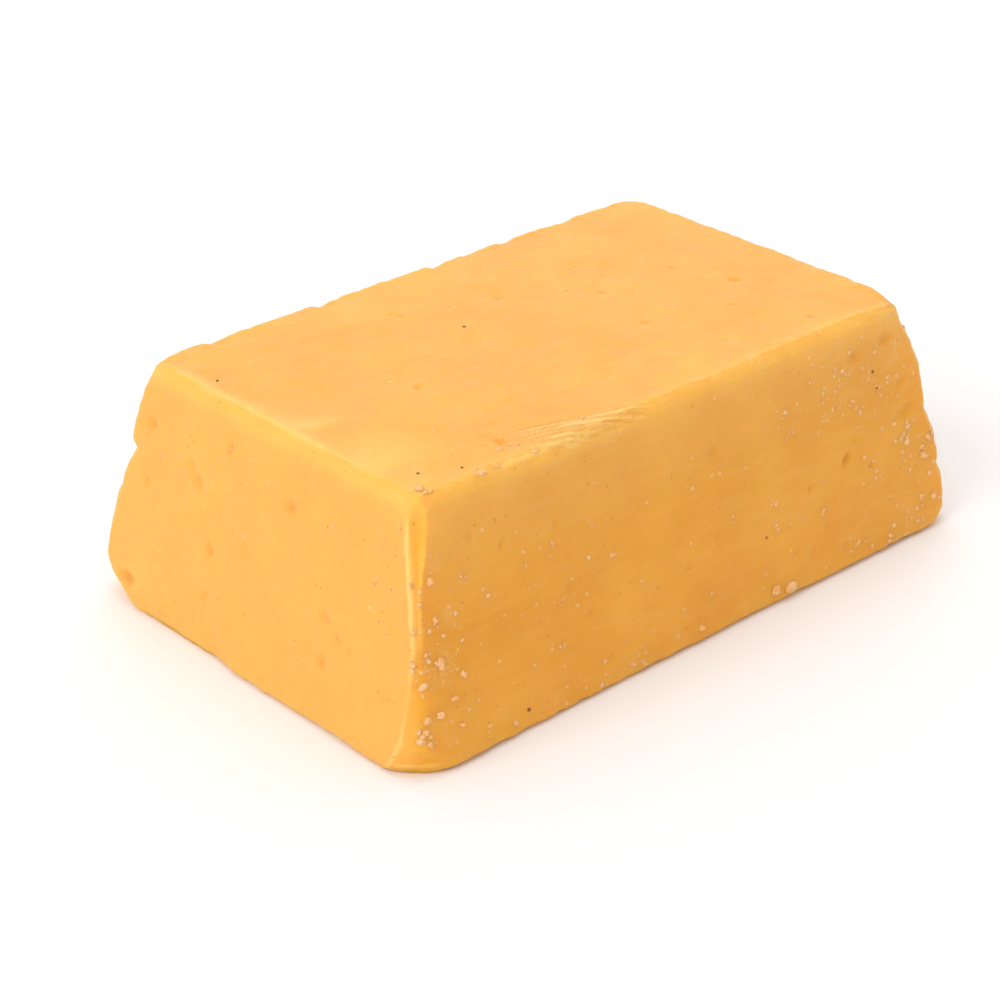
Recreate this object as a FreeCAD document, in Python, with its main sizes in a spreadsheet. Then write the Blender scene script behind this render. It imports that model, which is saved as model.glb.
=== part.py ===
"""Detailing clay bar: one moulded block of clay, with the crumbs and grit that cling to its tacky skin.

Frame: +X along the bar's length, +Y across it, +Z up. The origin is the centre of the base, which is the
bar's largest face and the open side of the mould that it was cast in. Every side leans in by the mould's
draft angle. The block's "front corner" is the upright corner at -X, -Y, and its "long face" looks to -Y.
"""

import FreeCAD, Part
import os
import Sketcher

from FreeCAD import Placement, Rotation, Vector

PARTS_FOLDER = "parts"
CLOSE = 1e-4  # mm, for telling which edges lie in a plane
UPRIGHT = 0.1  # the most that an upright face's unit normal may have of z
MOST_PROUD = 0.8  # the largest share of a whole crumb that may stand outside the block


# ---------------------------------------------------------------- driving dimensions
# name: (value in mm or degrees, what it is)
BLOCK_SIZES = {
    "base_length": (85.0, "length of the base"),
    "base_width": (55.0, "width of the base"),
    "bar_height": (28.0, "base to top face"),
    "draft_angle": (10.9, "lean of all four sides, in degrees"),
    "front_corner_radius": (2.4, "rounding of the front corner, where it has worn"),
    "corner_radius": (2.6, "rounding of the other three upright corners"),
    "top_edge_radius": (1.8, "rounding round the top face"),
    "base_edge_radius": (1.0, "rounding round the base"),
    "nick_radius": (1.5, "radius of the nick torn out of the back left corner in demoulding"),
    "nick_up": (16.9, "height of the nick above the base"),
    "nick_depth": (0.8, "how far the nick bites into the corner"),
}

CLING_SIZES = {
    "crumb_stand": (0.55, "half thickness of a crumb, square to the face it clings to"),
    "grit_radius": (0.22, "radius of a grain of grit"),
    "grit_sunk": (0.10, "depth of a grain's middle below the skin"),
}

# Places are given to the nearest half millimetre.
# Crumbs on the long face: name, distance along from the corner named, height above the base,
# half length along the face, half height up the face.
BASE_EDGE_CRUMBS = [
    ("broad_crumb", "near", 56.0, 1.5, 1.15, 0.75),
    ("round_crumb", "near", 53.5, 2.0, 0.70, 0.65),
    ("edge_crumb", "near", 41.5, 2.0, 0.50, 0.40),
    ("small_edge_crumb", "near", 10.5, 3.0, 0.40, 0.35),
]
FRONT_CORNER_CRUMBS = [
    ("low_crumb", "near", 4.5, 6.5, 0.60, 0.50),
    ("crescent_crumb", "near", 5.5, 11.5, 0.55, 0.85),
    ("side_crumb", "near", 7.0, 4.5, 0.45, 0.35),
    ("paired_crumb", "near", 6.5, 7.5, 0.60, 0.35),
    ("middle_crumb", "near", 8.0, 9.5, 0.40, 0.50),
    ("upper_crumb", "near", 5.5, 16.0, 0.40, 0.55),
    ("top_crumb", "near", 5.5, 20.0, 0.40, 0.45),
]
FAR_END_CRUMBS = [
    ("far_low_crumb", "far", 4.0, 4.0, 0.45, 0.60),
    ("far_side_crumb", "far", 4.5, 7.0, 0.50, 0.35),
    ("far_high_crumb", "far", 5.5, 9.5, 0.45, 0.55),
]

# Grains of grit: name, face, then on the long face the distance from the front corner and the height,
# and on the top face the distances from the front corner along the length and across the width.
GRIT_GRAINS = [
    ("long_grain_low", "long", 16.0, 2.5),
    ("long_grain_mid", "long", 52.5, 8.5),
    ("long_grain_high", "long", 72.0, 21.5),
    ("long_grain_far", "long", 72.5, 19.5),
    ("top_grain_corner", "top", 9.5, 10.0),
    ("top_grain_edge", "top", 13.5, 8.0),
    ("top_grain_left", "top", 8.0, 40.0),
    ("top_grain_middle", "top", 36.5, 33.0),
]


# ---------------------------------------------------------------- document and sheet
doc = FreeCAD.newDocument("clay_bar")
sheet = doc.addObject("Spreadsheet::Sheet", "dims")
sheet_rows = 0


def add_size(alias, value, note):
    """Write one driving dimension to the sheet as a plain number with a name."""
    global sheet_rows
    sheet_rows += 1
    sheet.set(f"A{sheet_rows}", note)
    sheet.set(f"B{sheet_rows}", str(value))
    sheet.setAlias(f"B{sheet_rows}", alias)


for alias, (value, note) in {**BLOCK_SIZES, **CLING_SIZES}.items():
    add_size(alias, value, note)

for crumb, corner, along, up, half_length, half_height in (
    *BASE_EDGE_CRUMBS,
    *FRONT_CORNER_CRUMBS,
    *FAR_END_CRUMBS,
):
    add_size(f"{crumb}_along", along, f"{crumb}: distance from the {corner} corner")
    add_size(f"{crumb}_up", up, f"{crumb}: height above the base")
    add_size(f"{crumb}_half_length", half_length, f"{crumb}: half length")
    add_size(f"{crumb}_half_height", half_height, f"{crumb}: half height")

for grain, face, first, second in GRIT_GRAINS:
    add_size(f"{grain}_along", first, f"{grain}: distance along the length from the front corner")
    add_size(f"{grain}_over", second, f"{grain}: height on the long face, or distance across the top")

doc.recompute()


# ---------------------------------------------------------------- the moulded block
ORIGIN = (-1, 1)  # a sketch's own origin, as a point of its geometry


def origin_plane(body, role):
    """One of a body's own origin planes."""
    return next(feature for feature in body.Origin.OriginFeatures if feature.Role == role)


def flat_sketch(body, name, points):
    """A closed outline of straight lines on the body's XY plane, still without sizes."""
    sketch = body.newObject("Sketcher::SketchObject", name)
    sketch.AttachmentSupport = (origin_plane(body, "XY_Plane"), "")
    sketch.MapMode = "FlatFace"
    count = len(points)
    for i in range(count):
        ends = (Vector(*points[i], 0), Vector(*points[(i + 1) % count], 0))
        sketch.addGeometry(Part.LineSegment(*ends), False)
    for i in range(count):
        sketch.addConstraint(Sketcher.Constraint("Coincident", i, 2, (i + 1) % count, 1))
    return sketch


def bind(sketch, label, kind, from_point, to_point, expression):
    """One distance of a sketch, bound to an expression. Points are (line, end), and (-1, 1) is the origin."""
    index = sketch.addConstraint(Sketcher.Constraint(kind, *from_point, *to_point, 1.0))
    sketch.renameConstraint(index, label)
    sketch.setExpression(f"Constraints.{label}", expression)


def side_faces(shape):
    """The names of a straight block's four upright faces."""
    faces = enumerate(shape.Faces, start=1)
    return [f"Face{number}" for number, face in faces if abs(face.normalAt(0, 0).z) < UPRIGHT]


def add_fillet(body, name, wanted, radius):
    """Round those edges of the body's last feature that wanted picks, by a radius from the sheet."""
    last = body.Tip
    edges = enumerate(last.Shape.Edges, start=1)
    fillet = body.newObject("PartDesign::Fillet", name)
    fillet.Base = (last, [f"Edge{number}" for number, edge in edges if wanted(edge)])
    fillet.setExpression("Radius", radius)
    doc.recompute()
    return fillet


body = doc.addObject("PartDesign::Body", "moulded_block")

# The base outline, anticlockwise: long face, far end, back and near end.
outline = flat_sketch(body, "base_outline", [(-40, -25), (40, -25), (40, 25), (-40, 25)])
for line in (0, 2):
    outline.addConstraint(Sketcher.Constraint("Horizontal", line))
for line in (1, 3):
    outline.addConstraint(Sketcher.Constraint("Vertical", line))
bind(outline, "near_end", "DistanceX", (3, 1), ORIGIN, "dims.base_length / 2")
bind(outline, "far_end", "DistanceX", ORIGIN, (1, 1), "dims.base_length / 2")
bind(outline, "long_face", "DistanceY", (0, 1), ORIGIN, "dims.base_width / 2")
bind(outline, "back_face", "DistanceY", ORIGIN, (2, 1), "dims.base_width / 2")
doc.recompute()

straight = body.newObject("PartDesign::Pad", "straight_block")
straight.Profile = outline
straight.setExpression("Length", "dims.bar_height")
doc.recompute()

# The mould's draft leans the four sides in, turning them about the base plane.
drafted = body.newObject("PartDesign::Draft", "mould_draft")
drafted.Base = (straight, side_faces(straight.Shape))
drafted.NeutralPlane = (origin_plane(body, "XY_Plane"), [""])
drafted.setExpression("Angle", "dims.draft_angle")
doc.recompute()
print(f"drafted block: {straight.Shape.Volume - drafted.Shape.Volume:.0f} mm3 off the straight one")

# The fillets: the front corner, the other three corners, then the loops round the top and the base.
height = float(sheet.get("bar_height"))


def is_upright(edge):
    return edge.BoundBox.ZLength > height / 2


def is_front_corner(edge):
    """True for the upright edge where x and y are both low."""
    middle = edge.BoundBox.Center
    return is_upright(edge) and middle.x < 0 and middle.y < 0


def is_other_corner(edge):
    """True for the three upright edges that are still sharp once the front corner is round."""
    middle = edge.BoundBox.Center
    return is_upright(edge) and not (middle.x < 0 and middle.y < 0)


add_fillet(body, "front_corner_rounding", is_front_corner, "dims.front_corner_radius")
add_fillet(body, "corner_rounding", is_other_corner, "dims.corner_radius")
add_fillet(body, "top_rounding", lambda edge: edge.BoundBox.ZMin > height - CLOSE, "dims.top_edge_radius")
add_fillet(body, "base_rounding", lambda edge: edge.BoundBox.ZMax < CLOSE, "dims.base_edge_radius")

# The nick is a ball that bites into the rounded back left corner, at (-X, +Y). The rounding's crest
# stands (sqrt(2) - 1) radii inside the point where the two sides would meet, measured on the diagonal.
before_nick = body.Shape.Volume
nick = body.newObject("PartDesign::SubtractiveSphere", "corner_nick")
nick.setExpression("Radius", "dims.nick_radius")
CREST = "dims.corner_radius * (1 - 1 / sqrt(2))"
NICK_IN = f"(dims.nick_up * tan(dims.draft_angle) + {CREST})"
NICK_OUT = "(dims.nick_radius - dims.nick_depth) / sqrt(2)"
nick.setExpression("Placement.Base.x", f"-dims.base_length / 2 + {NICK_IN} - {NICK_OUT}")
nick.setExpression("Placement.Base.y", f"dims.base_width / 2 - {NICK_IN} + {NICK_OUT}")
nick.setExpression("Placement.Base.z", "dims.nick_up")
doc.recompute()
print(f"corner nick: {before_nick - body.Shape.Volume:.2f} mm3 off")


# ---------------------------------------------------------------- grit pressed into the skin
def along_length(name, corner="near"):
    """An expression for x, from a distance to the front corner or to the far corner of the long face."""
    if corner == "near":
        return f"-dims.base_length / 2 + dims.{name}_along"
    return f"dims.base_length / 2 - dims.{name}_along"


def skin_y(height_expression):
    """An expression for y on the long face at a height: the face leans in by the draft."""
    return f"-dims.base_width / 2 + ({height_expression}) * tan(dims.draft_angle)"


def place(feature, x, y, z):
    """Bind a feature's position to three expressions."""
    for axis, expression in zip("xyz", (x, y, z)):
        feature.setExpression(f"Placement.Base.{axis}", expression)


grains = []
for grain, face, _first, _second in GRIT_GRAINS:
    ball = doc.addObject("Part::Sphere", grain)
    ball.setExpression("Radius", "dims.grit_radius")
    over = f"dims.{grain}_over"
    if face == "long":
        sunk_y = f"{skin_y(over)} + dims.grit_sunk * cos(dims.draft_angle)"
        place(ball, along_length(grain), sunk_y, f"{over} - dims.grit_sunk * sin(dims.draft_angle)")
    else:
        place(ball, along_length(grain), f"-dims.base_width / 2 + {over}", "dims.bar_height - dims.grit_sunk")
    grains.append(ball)

grit = doc.addObject("Part::Compound", "grit_grains")
grit.Label = "grit_grains"
grit.Links = grains

# The block is the moulded body less the little pits that the grains sit in.
clay_block = doc.addObject("Part::Cut", "clay_block")
clay_block.Label = "clay_block"
clay_block.Base = body
clay_block.Tool = grit
doc.recompute()

# A pit is far smaller than the error of so large a block's volume, so the pits' round faces are counted.
pit_radius = float(sheet.get("grit_radius"))
round_faces = [face for face in clay_block.Shape.Faces if isinstance(face.Surface, Part.Sphere)]
pits = [face for face in round_faces if abs(face.Surface.Radius - pit_radius) < CLOSE]
if len(pits) != len(GRIT_GRAINS):
    raise RuntimeError(f"the block has {len(pits)} pits for {len(GRIT_GRAINS)} grains")
print(f"grit pits: {len(pits)}, {sum(face.Area for face in pits):.3f} mm2 of wall")


# ---------------------------------------------------------------- crumbs stuck on the long face
def check_proud(group, largest_whole):
    """Stop unless each solid of a group is cut and lies outside the block."""
    for number, crumb in enumerate(group.Shape.Solids):
        if body.Shape.isInside(crumb.CenterOfMass, CLOSE, True):
            raise RuntimeError(f"{group.Label} {number} is the half buried in the block")
        if crumb.Volume > largest_whole * MOST_PROUD:
            raise RuntimeError(f"{group.Label} {number} isn't cut by the block")


def add_crumbs(label, crumbs):
    """A group of crumbs, each an ellipsoid flattened against the long face and cut off by the block.

    An ellipsoid's own Z axis stands square to the face, so that the face cuts it at its equator. A cut
    through its two poles can come out as the wrong half, buried in the block.
    """
    whole = []
    for crumb, corner, *_sizes in crumbs:
        blob = doc.addObject("Part::Ellipsoid", crumb)
        blob.Placement = Placement(Vector(), Rotation(Vector(1, 0, 0), 0))
        blob.setExpression("Placement.Rotation.Angle", "90 - dims.draft_angle")
        blob.setExpression("Radius1", "dims.crumb_stand")
        blob.setExpression("Radius2", f"dims.{crumb}_half_length")
        blob.setExpression("Radius3", f"dims.{crumb}_half_height")
        up = f"dims.{crumb}_up"
        place(blob, along_length(crumb, corner), skin_y(up), up)
        whole.append(blob)
    loose = doc.addObject("Part::Compound", f"{label}_whole")
    loose.Links = whole
    group = doc.addObject("Part::Cut", label)
    group.Label = label
    group.Base = loose
    group.Tool = body
    doc.recompute()
    check_proud(group, max(blob.Shape.Volume for blob in whole))
    return group


crumb_groups = [
    add_crumbs("base_edge_crumbs", BASE_EDGE_CRUMBS),
    add_crumbs("front_corner_crumbs", FRONT_CORNER_CRUMBS),
    add_crumbs("far_end_crumbs", FAR_END_CRUMBS),
]


# ---------------------------------------------------------------- checks and export
for feature in doc.Objects:
    if {"Invalid", "Error"} & set(feature.State):
        raise RuntimeError(f"{feature.Label} failed: {feature.State}")

nodes = [clay_block, grit, *crumb_groups]
expected_solids = {
    "clay_block": 1,
    "grit_grains": len(GRIT_GRAINS),
    "base_edge_crumbs": len(BASE_EDGE_CRUMBS),
    "front_corner_crumbs": len(FRONT_CORNER_CRUMBS),
    "far_end_crumbs": len(FAR_END_CRUMBS),
}
os.makedirs(PARTS_FOLDER, exist_ok=True)
for node in nodes:
    shape = node.Shape
    if shape.isNull() or not shape.isValid():
        raise RuntimeError(f"{node.Label} has no valid shape")
    if len(shape.Solids) != expected_solids[node.Label]:
        raise RuntimeError(f"{node.Label} has {len(shape.Solids)} solids, not {expected_solids[node.Label]}")

for node in nodes:
    shape = node.Shape
    shape.exportStep(os.path.join(PARTS_FOLDER, f"{node.Label}.step"))
    print(f"{node.Label}: {len(shape.Solids)} solid(s), {shape.Volume:.2f} mm3")
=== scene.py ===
# %% [markdown]
# # A bar of detailing clay
# The bar is one lump of clay that was pressed into a tapered mould and knocked out of it. It has no parts
# to assemble, so its character is all in its skin: soft rounded edges, a corner that has worn into two
# ridges, lips that smeared over in demoulding, small pits, and the pale crumbs and dark grit that stick to
# a tacky surface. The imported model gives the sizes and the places, and these cells make the skin.

import bmesh
import bpy
import math
import numpy as np

from mathutils import Matrix, Vector, noise


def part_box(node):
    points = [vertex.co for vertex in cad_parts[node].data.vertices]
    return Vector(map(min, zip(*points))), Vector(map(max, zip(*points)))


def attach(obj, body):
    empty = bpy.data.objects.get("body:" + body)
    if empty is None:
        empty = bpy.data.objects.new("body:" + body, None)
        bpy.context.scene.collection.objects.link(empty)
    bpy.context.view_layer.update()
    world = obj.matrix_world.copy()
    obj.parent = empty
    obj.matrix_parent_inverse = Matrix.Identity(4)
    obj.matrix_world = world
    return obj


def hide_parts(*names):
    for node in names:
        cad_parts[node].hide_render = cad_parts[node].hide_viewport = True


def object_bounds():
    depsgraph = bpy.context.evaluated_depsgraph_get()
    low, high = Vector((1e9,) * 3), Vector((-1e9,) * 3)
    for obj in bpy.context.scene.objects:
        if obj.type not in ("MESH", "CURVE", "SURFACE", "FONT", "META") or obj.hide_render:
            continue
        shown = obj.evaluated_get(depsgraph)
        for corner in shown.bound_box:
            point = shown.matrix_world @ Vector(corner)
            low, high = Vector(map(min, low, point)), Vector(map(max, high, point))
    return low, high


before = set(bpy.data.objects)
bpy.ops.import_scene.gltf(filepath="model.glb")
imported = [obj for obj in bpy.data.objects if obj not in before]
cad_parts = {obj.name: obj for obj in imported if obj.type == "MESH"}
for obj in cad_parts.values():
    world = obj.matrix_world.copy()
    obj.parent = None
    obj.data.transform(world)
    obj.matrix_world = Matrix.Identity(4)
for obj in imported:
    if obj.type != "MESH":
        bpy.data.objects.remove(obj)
cad_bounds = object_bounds()
MM = 0.001  # metres in a millimetre, because the scene is in metres
print("nodes:", sorted(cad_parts))

# %% [markdown]
# ## Small tools
# Operators act on whatever is selected. These helpers select one object, or the faces and edges of a mesh
# that pass a test, so that each later step can say in one line what it works on.

# %% Helpers for selecting and for modifiers
def work_on(piece):
    """Select one object and make it the active one."""
    bpy.ops.object.select_all(action="DESELECT")
    piece.select_set(True)
    bpy.context.view_layer.objects.active = piece


def pick(piece, kind, wanted):
    """In edit mode, select just the verts, edges or faces of a piece that wanted picks."""
    bpy.ops.mesh.select_mode(type={"verts": "VERT", "edges": "EDGE", "faces": "FACE"}[kind])
    bpy.ops.mesh.select_all(action="DESELECT")
    mesh = bmesh.from_edit_mesh(piece.data)
    for element in getattr(mesh, kind):
        element.select_set(bool(wanted(element)))
    bmesh.update_edit_mesh(piece.data)


def modify(piece, kind, **settings):
    """Add a modifier with its settings, and apply it."""
    work_on(piece)
    modifier = piece.modifiers.new(kind.lower(), kind)
    for name, value in settings.items():
        setattr(modifier, name, value)
    bpy.ops.object.modifier_apply(modifier=modifier.name)


def get_points(piece):
    """A mesh's vertices, in millimetres, as an array of rows."""
    flat = np.empty(len(piece.data.vertices) * 3, np.float32)
    piece.data.vertices.foreach_get("co", flat)
    return flat.reshape(-1, 3).astype(float) / MM


def set_points(piece, points):
    """Move a mesh's vertices to these places, in millimetres."""
    piece.data.vertices.foreach_set("co", (points * MM).astype(np.float32).ravel())
    piece.data.update()


def get_normals(piece):
    """The outward direction at each vertex."""
    flat = np.empty(len(piece.data.vertices) * 3, np.float32)
    piece.data.vertex_normals.foreach_get("vector", flat)
    return flat.reshape(-1, 3).astype(float)


# %% [markdown]
# ## Casting the block
# A cube is the blank. Its top face is shrunk by the mould's draft, which is the lean that lets a casting
# slide out, and then its edges are bevelled: generously up the corners and round the top, and less round
# the base, which was the open side of the mould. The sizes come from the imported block, whose base edge is
# rounded, so its box is a little smaller than the sharp base that the blank starts from.

# %% Block sizes, in millimetres
DRAFT = math.radians(10.9)
FRONT_CORNER_ROUND = 1.0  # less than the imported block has, since the wear is cut from this corner below
CORNER_ROUND = 2.0
TOP_ROUND = 1.8
BASE_ROUND = 1.0

block_low, block_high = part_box("clay_block")
edge_loss = BASE_ROUND * (1 / math.tan((math.pi / 2 - DRAFT) / 2) - 1)
LENGTH = (block_high.x - block_low.x) / MM + 2 * edge_loss
WIDTH = (block_high.y - block_low.y) / MM + 2 * edge_loss
HEIGHT = block_high.z / MM
LEAN = math.tan(DRAFT)
print(f"sharp base {LENGTH:.2f} x {WIDTH:.2f} mm, height {HEIGHT:.2f} mm")

# %% The blank, drafted and bevelled
bpy.ops.object.select_all(action="DESELECT")
bpy.ops.mesh.primitive_cube_add(size=1, location=(0, 0, 0))
block = bpy.context.object
block.name = "clay_block_skin"
bpy.ops.object.mode_set(mode="EDIT")
bpy.ops.transform.translate(value=(0, 0, 0.5))
bpy.ops.transform.resize(value=(LENGTH * MM, WIDTH * MM, HEIGHT * MM), center_override=(0, 0, 0))

top_share = [1 - 2 * HEIGHT * LEAN / side for side in (LENGTH, WIDTH)]
pick(block, "faces", lambda face: face.normal.z > 0.9)
bpy.ops.transform.resize(value=(*top_share, 1), center_override=(0, 0, HEIGHT * MM))


def is_upright(edge):
    """True for an edge that climbs the block."""
    low, high = sorted(vert.co.z for vert in edge.verts)
    return high - low > HEIGHT * MM / 2


def at_front(edge):
    """True where both x and y are low: the front corner."""
    return all(vert.co.x < 0 and vert.co.y < 0 for vert in edge.verts)


def in_plane(height):
    """A test for edges that lie at a height in millimetres."""
    return lambda edge: all(abs(vert.co.z / MM - height) < 0.01 for vert in edge.verts)


pick(block, "edges", lambda edge: is_upright(edge) and at_front(edge))
bpy.ops.mesh.bevel(offset=FRONT_CORNER_ROUND * MM, segments=8, affect="EDGES")
pick(block, "edges", lambda edge: is_upright(edge) and not at_front(edge))
bpy.ops.mesh.bevel(offset=CORNER_ROUND * MM, segments=8, affect="EDGES")
pick(block, "edges", in_plane(HEIGHT))
bpy.ops.mesh.bevel(offset=TOP_ROUND * MM * 0.83, segments=6, affect="EDGES")
pick(block, "edges", in_plane(0))
bpy.ops.mesh.bevel(offset=BASE_ROUND * MM * 1.21, segments=5, affect="EDGES")
bpy.ops.object.mode_set(mode="OBJECT")
print("bevelled blank:", len(block.data.polygons), "faces")

# %% [markdown]
# ## An even mesh to sculpt
# A bevelled cube has huge flat faces, and a dent needs points to move. A voxel remesh wraps the blank in
# small even squares. It leaves faint steps on faces that lean, so the points close to a flat are pressed
# onto it again.

# %% Remesh, and press the flats flat
SCULPT_GRID = 0.3  # mm between points, fine enough for a ridge half a millimetre wide
FLAT_REACH = 0.12  # mm: points nearer to a flat than this belong to it
modify(block, "REMESH", mode="VOXEL", voxel_size=SCULPT_GRID * MM)

SIDE, RISE = math.cos(DRAFT), math.sin(DRAFT)
OUTWARD = {
    "long": (0, -SIDE, RISE),
    "back": (0, SIDE, RISE),
    "end": (-SIDE, 0, RISE),
    "far": (SIDE, 0, RISE),
    "top": (0, 0, 1),
    "base": (0, 0, -1),
}
REACH = {
    "long": WIDTH / 2 * SIDE,
    "back": WIDTH / 2 * SIDE,
    "end": LENGTH / 2 * SIDE,
    "far": LENGTH / 2 * SIDE,
    "top": HEIGHT,
    "base": 0,
}
points = get_points(block)
for face, outward in OUTWARD.items():
    over = points @ np.array(outward) - REACH[face]
    close = np.abs(over) < FLAT_REACH
    points[close] -= np.outer(over[close], outward)
set_points(block, points)
modify(block, "SMOOTH", factor=0.5, iterations=3)
points = get_points(block)
normals = get_normals(block)
print("points to sculpt:", len(points))

# %% [markdown]
# ## Finding a place on the block
# Each mark is given as a face and two distances in millimetres, as one would with a ruler: along
# from the end face or across from the long face, and the height. The depth under a face says which points
# belong to it.

# %% Rulers for each face
along = points[:, 0] + LENGTH / 2
across = points[:, 1] + WIDTH / 2
height = points[:, 2]
lean_in = height * LEAN
RULERS = {"long": (along, height), "back": (along, height), "end": (across, height)}
RULERS.update({"far": (across, height), "top": (along, across), "base": (along, across)})
under = {face: REACH[face] - points @ np.array(outward) for face, outward in OUTWARD.items()}
facing = {face: normals @ np.array(outward) for face, outward in OUTWARD.items()}
edge_depth = np.sort(np.array(list(under.values())), axis=0)[1]
near_edge = np.exp(-((edge_depth / 2.0) ** 2))


def smooth_step(value, low, high):
    """0 below low, 1 above high, and an S-shaped change between them."""
    share = np.clip((value - low) / (high - low), 0, 1)
    return share * share * (3 - 2 * share)


def hump(distance, before, after):
    """1 at no distance, dying away over one length on the low side and another on the high side."""
    return np.exp(-((distance / np.where(distance < 0, before, after)) ** 2))


def smooth_noise(size, seed, stretch=(1, 1, 1)):
    """Smooth noise from -1 to 1 at every point, with lumps about this many millimetres across."""
    scaled = points / size / np.array(stretch) + seed * 13.7
    return np.array([noise.noise(Vector(place)) for place in scaled])


moved = np.zeros_like(points)  # the sculpting so far, added to the points at the end
painted_thin_glow = np.zeros(len(points))  # where clay is proud or thin: painted paler there, a painted glow of light through it
painted_hollow_shade = np.zeros(len(points))  # where clay is pitted or grooved: painted shade, deeper in colour

# %% [markdown]
# ## The worn front corner
# The corner between the end face and the long face has been pressed flat in a strip. Clay squeezed to the
# two sides of the strip and stands up as ridges, the left one sharper. Between them is a shallow channel
# high up, and lower down the strip widens until the base corner is cut right off. The ridges are given by
# their distances from the sharp corner at a few heights, and what stands outside the line between them is
# pressed back to it.

# %% Cut the front corner
LEFT_RIDGE = ((0, 5.4), (1, 3.8), (4, 2.0), (8.5, 1.0), (13.5, 0.3), (16, 0.6), (22, 1.1), (28, 1.6))
RIGHT_RIDGE = ((0, 6.2), (1.4, 4.6), (3.5, 1.6), (7, 1.5), (13, 0.8), (18, 0.4), (21, 0.6))
RIGHT_RIDGE += ((25, 1.3), (28, 1.0))
CHANNEL = ((0, -0.55), (1.4, -0.4), (3.5, 0.0), (12, 0.1), (17, 0.28), (23, 0.32), (28, 0.05))
CORNER_REACH = 9  # mm from a corner, past which no wear is worked out
DIAGONAL = math.sqrt(0.5)  # the step along x and along y for a step of 1 along a corner's diagonal
SOFTNESS = ((0, 0.30), (12, 0.22), (17, 0.07), (25, 0.07), (28, 0.2))


def at_height(table):
    """Read a table of heights and values at every point's height."""
    return np.interp(height, *zip(*table))


def cut_corner(from_end, from_side, on_end, on_side, sunk, softness):
    """How far to press a corner in to the line between two ridges, and each point's share of that line.

    The softness, in millimetres, rounds the turn from the pressed strip to the faces beside it.
    """
    slant = np.hypot(on_end, on_side)
    inside = (on_end * from_end + on_side * from_side - on_end * on_side) / slant
    share = ((on_side - from_end) * on_side + from_side * on_end) / slant**2
    floor_depth = sunk * np.sin(np.pi * np.clip(share, 0, 1))
    return softness * np.logaddexp(0, (floor_depth - inside) / softness), share


from_end, from_long = along - lean_in, across - lean_in
left, right = at_height(LEFT_RIDGE), at_height(RIGHT_RIDGE)
near_front = (from_end < CORNER_REACH) & (from_long < CORNER_REACH)
press, share = cut_corner(from_end, from_long, left, right, at_height(CHANNEL), at_height(SOFTNESS))
press = np.where(near_front, press, 0)
moved[:, 0] += press * left / np.hypot(left, right)
moved[:, 1] += press * right / np.hypot(left, right)

wobble = 0.18 * smooth_noise(3.0, 1)
left_line = hump(np.hypot(from_end, from_long - left - wobble), 0.4, 0.4)
right_line = hump(np.hypot(from_end - right - wobble, from_long), 0.32, 0.32)
left_height = np.interp(height, (0, 3, 6, 10, 14, 24, 27), (0.1, 0.2, 0.1, 0.06, 0.24, 0.24, 0.0))
right_height = np.interp(height, (0, 11, 14, 17, 22, 26), (0.0, 0.0, 0.08, 0.15, 0.1, 0.0))
ridge = left_line * left_height + right_line * right_height
moved += normals * ridge[:, None]
soft_line = hump(np.hypot(from_end, from_long - left - wobble), 0.7, 0.7)
# painted glow along the ridges
painted_thin_glow = np.maximum(painted_thin_glow, np.maximum(left_line * 3.0, soft_line * 1.6) * left_height)
painted_thin_glow = np.maximum(painted_thin_glow, right_line * right_height * 2.4)

# the skirt: a lip a millimetre up, where the cut base corner turns down
skirt = np.where(near_front, hump(height - 1.3 - 1.8 * wobble, 0.3, 0.3), 0) * smooth_step(press, 0.2, 0.8)
moved += normals * 0.22 * skirt[:, None]
# painted glow on the skirt
painted_thin_glow = np.maximum(painted_thin_glow, 0.4 * skirt)
print(f"deepest press at the front corner {press.max():.2f} mm")

# %% [markdown]
# ## The other three corners
# The other upright corners are only rubbed. The back corner of the end face and the front corner of the far
# face are worn most at the foot, the far back corner is blunt all the way up, and three of the top corners
# sag.

# %% Rub the corners, and let the top corners sag
def rub_corner(from_one, from_two, table, softness, inward):
    """Press a corner in by equal legs, read from a table of heights and legs, and return how far."""
    leg = at_height(table)
    press_in, _ = cut_corner(from_one, from_two, leg, leg, 0 * height, softness)
    press_in = np.where((from_one < CORNER_REACH) & (from_two < CORNER_REACH), press_in, 0)
    moved[:, 0] += press_in * DIAGONAL * inward[0]
    moved[:, 1] += press_in * DIAGONAL * inward[1]
    return press_in


from_back = WIDTH - across - lean_in
from_far = LENGTH - along - lean_in
BACK_FOOT = ((0, 7.6), (1.5, 5.6), (3, 3.0), (5, 1.4), (9, 0.6), (20, 1.0), (28, 1.4))
FAR_FOOT = ((0, 4.8), (2, 2.0), (5, 0.6))
FAR_BACK = ((0, 3.6), (3, 2.6), (8, 2.0), (28, 1.8))
press_back = rub_corner(from_end, from_back, BACK_FOOT, 0.3, (1, -1))
rub_corner(from_far, from_long, FAR_FOOT, 0.3, (-1, 1))
rub_corner(from_far, from_back, FAR_BACK, 0.4, (-1, -1))


def corner_gap(one, two):
    """How far each point is from the top corner where two side faces meet."""
    return np.sqrt(under[one] ** 2 + under[two] ** 2 + under["top"] ** 2)


# the two side faces that meet there, how deep it sags and how far, in mm
TOP_CORNERS = (("end", "back", 0.6, 2.8), ("far", "long", 1.3, 4.0), ("far", "back", 0.5, 2.8))
for one, two, depth, reach in TOP_CORNERS:
    moved -= normals * (depth * hump(corner_gap(one, two), reach, reach))[:, None]
print(f"deepest press at the back corner of the end face {press_back.max():.2f} mm")

# %% [markdown]
# ## Nicks down the upright corners
# Knocking the bar out of its mould tore small nicks into the corners. Each is sharp on its upper side and
# runs out slowly below, where the torn clay was dragged.

# %% Nick the corners
def nick(distance, level, above, below, depth, inward):
    """Push the points near a corner line in, round one level."""
    strength = hump(height - level, below, above) * np.exp(-((distance / 2.0) ** 2))
    moved[:] += np.outer(depth * strength, inward)
    return strength


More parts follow.
